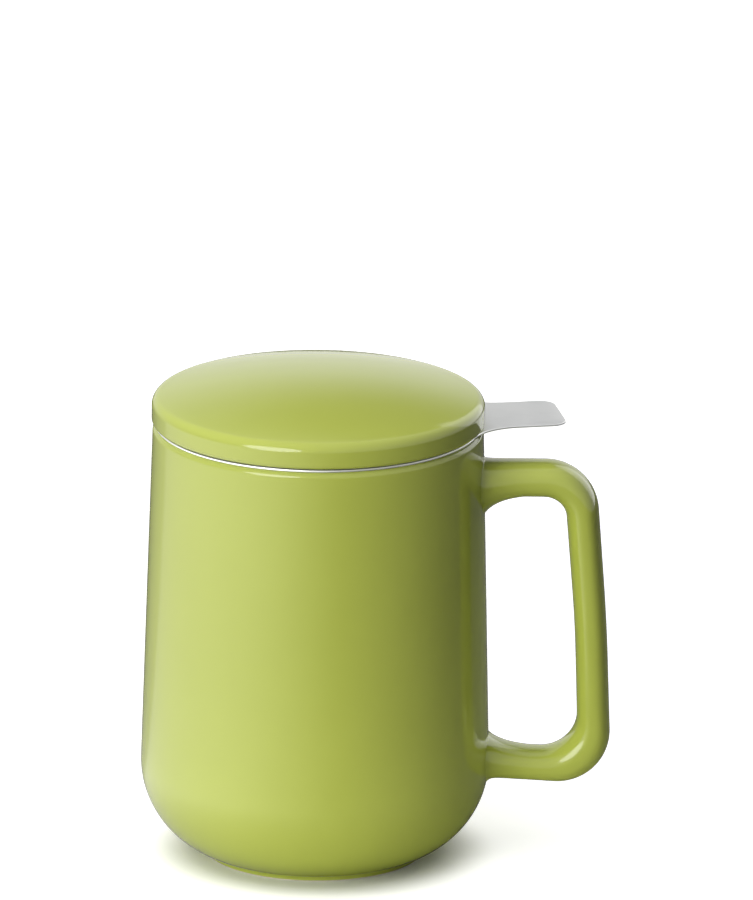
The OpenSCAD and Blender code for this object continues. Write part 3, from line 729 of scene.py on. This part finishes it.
def floorTree():
    # the basket's floor: a disc of the same sheet, plain where it meets the wall
    tree = bpy.data.node_groups.new("perforated floor", "GeometryNodeTree")
    given = treeInputs(tree, ["Count"], ["Pitch", "Hole Field", "Cell Field", "Rim Start", "Disc Radius",
                                         "Height", "Thickness", "Merge Gap"])
    steps = addNode(tree, "ShaderNodeMath", {0: given["Count"], 1: 1.0}, operation="SUBTRACT")
    size = addNode(tree, "ShaderNodeMath", {0: steps, 1: given["Pitch"]}, operation="MULTIPLY")
    spots = addNode(tree, "GeometryNodeMeshGrid", {
        "Size X": size, "Size Y": size, "Vertices X": given["Count"], "Vertices Y": given["Count"]})
    position = addNode(tree, "GeometryNodeInputPosition")
    reach = addNode(tree, "ShaderNodeVectorMath", {0: position}, operation="LENGTH").outputs["Value"]
    holed = addNode(tree, "ShaderNodeMath", {0: reach, 1: given["Hole Field"]}, operation="LESS_THAN")
    inField = addNode(tree, "ShaderNodeMath", {0: reach, 1: given["Cell Field"]}, operation="LESS_THAN")
    plain = addNode(tree, "ShaderNodeMath", {0: inField, 1: holed}, operation="SUBTRACT")
    cell = addNode(tree, "GeometryNodeMeshGrid", {
        "Size X": given["Pitch"], "Size Y": given["Pitch"], "Vertices X": 2, "Vertices Y": 2})
    joined = addNode(tree, "GeometryNodeJoinGeometry")
    for choice, shape in ((holed, given["Geometry"]), (plain, cell)):
        copies = addNode(tree, "GeometryNodeInstanceOnPoints", {
            "Points": spots, "Selection": choice, "Instance": shape})
        real = addNode(tree, "GeometryNodeRealizeInstances", {"Geometry": copies})
        tree.links.new(real.outputs[0], joined.inputs[0])
    merged = addNode(tree, "GeometryNodeMergeByDistance", {
        "Geometry": joined, "Distance": given["Merge Gap"]})
    faceCount = addNode(tree, "GeometryNodeInputMeshEdgeNeighbors")
    lone = addNode(tree, "FunctionNodeCompare", {"A": faceCount.outputs[0], "B": 1}, data_type="INT",
                   operation="EQUAL")
    atLone = addNode(tree, "GeometryNodeFieldOnDomain", {0: lone}, data_type="FLOAT", domain="POINT")
    onEdge = addNode(tree, "ShaderNodeMath", {0: atLone, 1: 0.0}, operation="GREATER_THAN")
    outside = addNode(tree, "ShaderNodeMath", {0: reach, 1: given["Rim Start"]}, operation="GREATER_THAN")
    rim = addNode(tree, "ShaderNodeMath", {0: onEdge, 1: outside}, operation="MULTIPLY")
    outward = addNode(tree, "ShaderNodeVectorMath", {0: position}, operation="NORMALIZE")
    onCircle = addNode(tree, "ShaderNodeVectorMath", {0: outward, "Scale": given["Disc Radius"]},
                       operation="SCALE")
    trimmed = addNode(tree, "GeometryNodeSetPosition", {
        "Geometry": merged, "Selection": rim, "Position": onCircle})
    lift = addNode(tree, "ShaderNodeCombineXYZ", {2: given["Height"]})
    placed = addNode(tree, "GeometryNodeSetPosition", {"Geometry": trimmed, "Offset": lift})
    endTree(tree, thicken(tree, placed, given["Thickness"], given["Merge Gap"]), given["Material"])
    return tree


def basketPieces(material):
    outer, sheet, bend, pitch = basket["radius"], basket["sheet"], basket["bend"], basket["pitch"]
    pitchAcross = 2 * math.pi * (outer - sheet / 2) / basket["columns"]
    low = beadTop - basket["depth"]
    straight = neckTop - low - bend
    total = straight + bend * math.pi / 2 + basket["crimp"] - bend
    plainLow = total - basket["plainTop"] - basket["rows"] * pitch
    tree = wallTree()
    for name, start in (("basketWallFront", -math.pi / 2), ("basketWallBack", math.pi / 2)):
        piece = holeCell(name, pitchAcross, pitch, basket["hole"])
        runTree(piece, tree, {
            "Columns": basket["columns"] // 2, "Columns Around": basket["columns"], "Rows": basket["rows"],
            "Top Rows": basket["topRows"], "Low Rows": basket["lowRows"],
            "Pitch Across": pitchAcross * mm, "Pitch Down": pitch * mm, "Plain Top": basket["plainTop"] * mm,
            "Plain Low": plainLow * mm, "Radius": outer * mm, "Top": neckTop * mm, "Straight": straight * mm,
            "Bend": bend * mm, "Thickness": -sheet * mm, "Start Angle": start, "Merge Gap": mergeGap,
            "Material": material})
        finishPiece(piece, "infuser", "basket_wall")
    discRadius = outer - bend
    holeField = discRadius - basket["holeMargin"]
    floorPiece = holeCell("basketFloor", pitch, pitch, basket["hole"])
    runTree(floorPiece, floorTree(), {
        "Count": 2 * math.ceil(discRadius / pitch) + 1, "Pitch": pitch * mm, "Hole Field": holeField * mm,
        "Cell Field": (discRadius - basket["cellMargin"]) * mm,
        "Rim Start": (holeField + basket["rimShare"] * pitch) * mm, "Disc Radius": discRadius * mm,
        "Height": (low + sheet) * mm, "Thickness": sheet * mm, "Merge Gap": mergeGap, "Material": material})
    finishPiece(floorPiece, "infuser", "basket_floor")


basketPieces(satin)

# lid

lid = {
    "over": 0.3, "side": 6.6, "rise": 5.4, "shoulder": 2.8, "edge": 1.0, "thick": 4.2,
    "ringDepth": 2.2, "ringWidth": 3.0, "ringRound": 0.8, "rootRound": 0.4, "gap": 0.5, "hollowRound": 2.5,
    "bareAbove": 0.1, "bareWithin": 42.0,  # bare clay up to this far above the bead, out to this radius
    "stepsAround": 256, "underSteps": 18, "hollowSteps": 12, "ringSteps": 8, "rootSteps": 5, "edgeSteps": 10,
    "shoulderSteps": 16, "domeSteps": 24, "spacing": 2.2,
}
lidTop = beadTop + lid["side"] + lid["rise"]


def insideFunnel(z):
    lean = math.sqrt(1 + funnelLean ** 2)
    return collar["mouthRadius"] + (z - beadZ) * funnelLean - (collar["sheet"] / 2 + lid["gap"]) * lean


def lidOutline():
    # half a section through the lid, from the middle of its hollow round to the top of its dome
    radius, shoulder = mug["lipRadius"] + lid["over"], lid["shoulder"]
    dome = (radius ** 2 + lid["rise"] ** 2) / (2 * lid["rise"])
    centreZ = lidTop - dome
    shoulderZ = centreZ + math.sqrt((dome - shoulder) ** 2 - (radius - shoulder) ** 2)
    shoulderTurn = math.atan2(shoulderZ - centreZ, radius - shoulder)
    ringZ = beadTop - lid["ringDepth"]
    ringRoot, ringTip = (insideFunnel(beadTop), beadTop), (insideFunnel(ringZ), ringZ)
    hollow, shell = ringTip[0] - lid["ringWidth"], dome - lid["thick"]
    under = [(x, centreZ + math.sqrt(shell ** 2 - x ** 2))
             for x in (hollow * i / lid["underSteps"] for i in range(lid["underSteps"] + 1))]
    ringHeel, rim, rimTop = (hollow, ringZ), (radius, beadTop), (radius, shoulderZ)
    points = [p for p in under if p[0] < hollow - lid["hollowRound"]]
    points += roundCorner(under[-2], under[-1], ringHeel, lid["hollowRound"], lid["hollowSteps"])
    points += roundCorner(under[-1], ringHeel, ringTip, lid["ringRound"], lid["ringSteps"])
    points += roundCorner(ringHeel, ringTip, ringRoot, lid["ringRound"], lid["ringSteps"])
    points += roundCorner(ringTip, ringRoot, rim, lid["rootRound"], lid["rootSteps"])
    points += roundCorner(ringRoot, rim, rimTop, lid["edge"], lid["edgeSteps"])
    points += [(radius - shoulder + shoulder * math.cos(a), shoulderZ + shoulder * math.sin(a))
               for a in (shoulderTurn * i / lid["shoulderSteps"] for i in range(lid["shoulderSteps"] + 1))]
    points += [(dome * math.cos(a), centreZ + dome * math.sin(a))
               for a in (shoulderTurn + (math.pi / 2 - shoulderTurn) * i / lid["domeSteps"]
                         for i in range(1, lid["domeSteps"]))]
    points += [(0.0, lidTop)]
    return spaced(points, lid["spacing"])


# the lid has no sharp crown, so it gets neither thin glaze nor a painted highlight: its crown is put above it
lidGlaze = glazedStoneware("glazed stoneware lid", beadTop + lid["bareAbove"], lid["bareWithin"], 2 * lidTop)
turnedPiece("lidShell", lidOutline(), lid["stepsAround"], lidGlaze, "lid", "lid")

# studio

studio = {
    "ambient": 0.015,  # strength of the room's own light on the pieces
    "floorSize": 12.0, "floorColour": "#f4f4f3",
    "glowNear": 0.62, "glowFar": 1.0, "glowFade": (0.4, 1.6),
    "glowUnder": 0.02, "glowRim": (0.031, 0.050),  # weak under the belly, where the shadow lies
    "bounceNear": 0.9, "bounceFar": 0.08, "bounceFade": (0.05, 0.30),  # light that the floor throws back
    "sheetSize": 2.4, "sheetLift": 0.0004, "sheetAzimuth": -72, "sheetLight": 2.3, "sheetDark": 0.15,
    "sheetFall": 1.5, "sheetStep": (-128, -124, 0.6), "sheetFade": (0.012, 0.11),
    "boardSize": 2.0, "boardPlace": (0.15, 1.1, 0.92), "boardGrey": 0.15, "boardFade": (0.12, 0.62),
    "aim": (0.0, 0.0, 0.065),  # what the lamps point at
}
lamps = {  # azimuth from the camera, negative on its left; degrees, metres and watts
    "key lamp": {"azimuth": -31, "elevation": 15, "distance": 1.0, "size": 0.7, "power": 7.4,
                 "mirrored": True},  # seen in reflections
    "top lamp": {"azimuth": -75, "elevation": 70, "distance": 1.0, "size": 1.7, "power": 12.2,
                 "mirrored": False},
    "back lamp": {"azimuth": 146, "elevation": 14, "distance": 1.2, "size": 1.3, "power": 5.0,
                  "mirrored": True},
}


def seenRays(tree):
    # 1 for rays of the camera, of reflections and through glass, otherwise 0
    path = addNode(tree, "ShaderNodeLightPath").outputs
    seen = addNode(tree, "ShaderNodeMath", {0: path["Is Camera Ray"], 1: path["Is Glossy Ray"]},
                   operation="MAXIMUM")
    return addNode(tree, "ShaderNodeMath", {0: seen, 1: path["Is Transmission Ray"]}, operation="MAXIMUM")


def makeWorld():
    world = bpy.data.worlds.new("white room")
    world.use_nodes = True
    tree = world.node_tree
    tree.nodes.clear()
    strength = addNode(tree, "ShaderNodeMapRange", {0: seenRays(tree), 3: studio["ambient"]})
    light = addNode(tree, "ShaderNodeBackground", {"Color": (1, 1, 1, 1), "Strength": strength})
    addNode(tree, "ShaderNodeOutputWorld", {"Surface": light})
    scene.world = world


def flatBoard(name, size):
    half = size / 2 / mm
    corners = [(-half, -half, 0), (half, -half, 0), (half, half, 0), (-half, half, 0)]
    board = meshObject(name, corners, [(0, 1, 2, 3)])
    material, tree = newMaterial(name)
    board.data.materials.append(material)
    return board, tree


def makeFloor():
    floor, tree = flatBoard("white paper floor", studio["floorSize"])
    seen = seenRays(tree)
    reach = pointOnPiece(tree)[2]
    near, far = studio["bounceFade"]
    bounce = addNode(tree, "ShaderNodeMapRange", {
        0: reach, 1: near, 2: far, 3: studio["bounceNear"], 4: studio["bounceFar"]},
        interpolation_type="SMOOTHSTEP")
    pale = addNode(tree, "ShaderNodeMath", {0: bounce, 1: seen}, operation="MAXIMUM")
    colour = addNode(tree, "ShaderNodeMix", {0: 1.0, 6: srgb(studio["floorColour"]), 7: pale},
                     data_type="RGBA", blend_type="MULTIPLY").outputs[2]
    paper = addNode(tree, "ShaderNodeBsdfDiffuse", {"Color": colour})
    near, far = studio["glowRim"]
    under = addNode(tree, "ShaderNodeMapRange", {
        0: reach, 1: near, 2: far, 3: studio["glowUnder"], 4: studio["glowNear"]},
        interpolation_type="SMOOTHSTEP")
    near, far = studio["glowFade"]
    glow = addNode(tree, "ShaderNodeMapRange", {0: reach, 1: near, 2: far, 3: under, 4: studio["glowFar"]})
    strength = addNode(tree, "ShaderNodeMath", {0: seen, 1: glow}, operation="MULTIPLY")
    light = addNode(tree, "ShaderNodeEmission", {"Strength": strength})
    both = addNode(tree, "ShaderNodeAddShader", {0: paper, 1: light})
    addNode(tree, "ShaderNodeOutputMaterial", {"Surface": both})


def reflectedOnly(board, tree, strength):
    # lets the board glow, and hides it from all but reflections
    shine = addNode(tree, "ShaderNodeEmission", {"Strength": strength})
    addNode(tree, "ShaderNodeOutputMaterial", {"Surface": shine})
    board.visible_camera = False
    board.visible_diffuse = False
    board.visible_shadow = False


def makeGlossSheet():
    # what the upright glaze reflects: a sheet on the floor, bright on one side and fading round to dark
    sheet, tree = flatBoard("gloss sheet", studio["sheetSize"])
    sheet.location.z = studio["sheetLift"]
    place, axes, reach = pointOnPiece(tree)
    front = addNode(tree, "ShaderNodeMath", {0: axes[1], 1: -1.0}, operation="MULTIPLY")
    azimuth = addNode(tree, "ShaderNodeMath", {0: axes[0], 1: front}, operation="ARCTAN2")
    aside = addNode(tree, "ShaderNodeMath", {0: azimuth, 1: math.radians(studio["sheetAzimuth"])},
                    operation="SUBTRACT")
    facing = addNode(tree, "ShaderNodeMath", {0: aside}, operation="COSINE")
    lit = addNode(tree, "ShaderNodeMath", {0: facing, 1: 0.0}, operation="MAXIMUM")
    fall = addNode(tree, "ShaderNodeMath", {0: lit, 1: studio["sheetFall"]}, operation="POWER")
    dim, full, dimmed = studio["sheetStep"]
    step = addNode(tree, "ShaderNodeMapRange", {
        0: azimuth, 1: math.radians(dim), 2: math.radians(full), 3: dimmed})
    stepped = addNode(tree, "ShaderNodeMath", {0: fall, 1: step}, operation="MULTIPLY")
    light = addNode(tree, "ShaderNodeMath", {0: stepped, 1: studio["sheetLight"], 2: studio["sheetDark"]},
                    operation="MULTIPLY_ADD")
    near, far = studio["sheetFade"]
    shade = addNode(tree, "ShaderNodeMapRange", {0: reach, 1: near, 2: far}, interpolation_type="SMOOTHSTEP")
    strength = addNode(tree, "ShaderNodeMath", {0: light, 1: shade}, operation="MULTIPLY")
    reflectedOnly(sheet, tree, strength)


def makeBackBoard():
    # a grey board behind the piece, for the lid's top and the flat steel; it fades out at its edges
    board, tree = flatBoard("grey board", studio["boardSize"])
    board.location = studio["boardPlace"]
    board.rotation_euler.x = math.pi / 2
    near, far = studio["boardFade"]
    light = addNode(tree, "ShaderNodeMapRange", {
        0: pointOnPiece(tree)[2], 1: near, 2: far, 3: studio["boardGrey"]}, interpolation_type="SMOOTHSTEP")
    reflectedOnly(board, tree, light)


def makeLamps():
    for name, lamp in lamps.items():
        azimuth, lift = math.radians(lamp["azimuth"]), math.radians(lamp["elevation"])
        level = math.cos(lift)
        out = Vector((math.sin(azimuth) * level, -math.cos(azimuth) * level, math.sin(lift)))
        data = bpy.data.lights.new(name, "AREA")
        data.shape, data.size, data.energy = "DISK", lamp["size"], lamp["power"]
        made = bpy.data.objects.new(name, data)
        scene.collection.objects.link(made)
        made.location = Vector(studio["aim"]) + out * lamp["distance"]
        made.rotation_euler = out.to_track_quat("Z", "Y").to_euler()
        made.visible_glossy = lamp["mirrored"]


scene.view_settings.view_transform = "Standard"
makeWorld()
makeFloor()
makeGlossSheet()
makeBackBoard()
makeLamps()
print("studio lit")
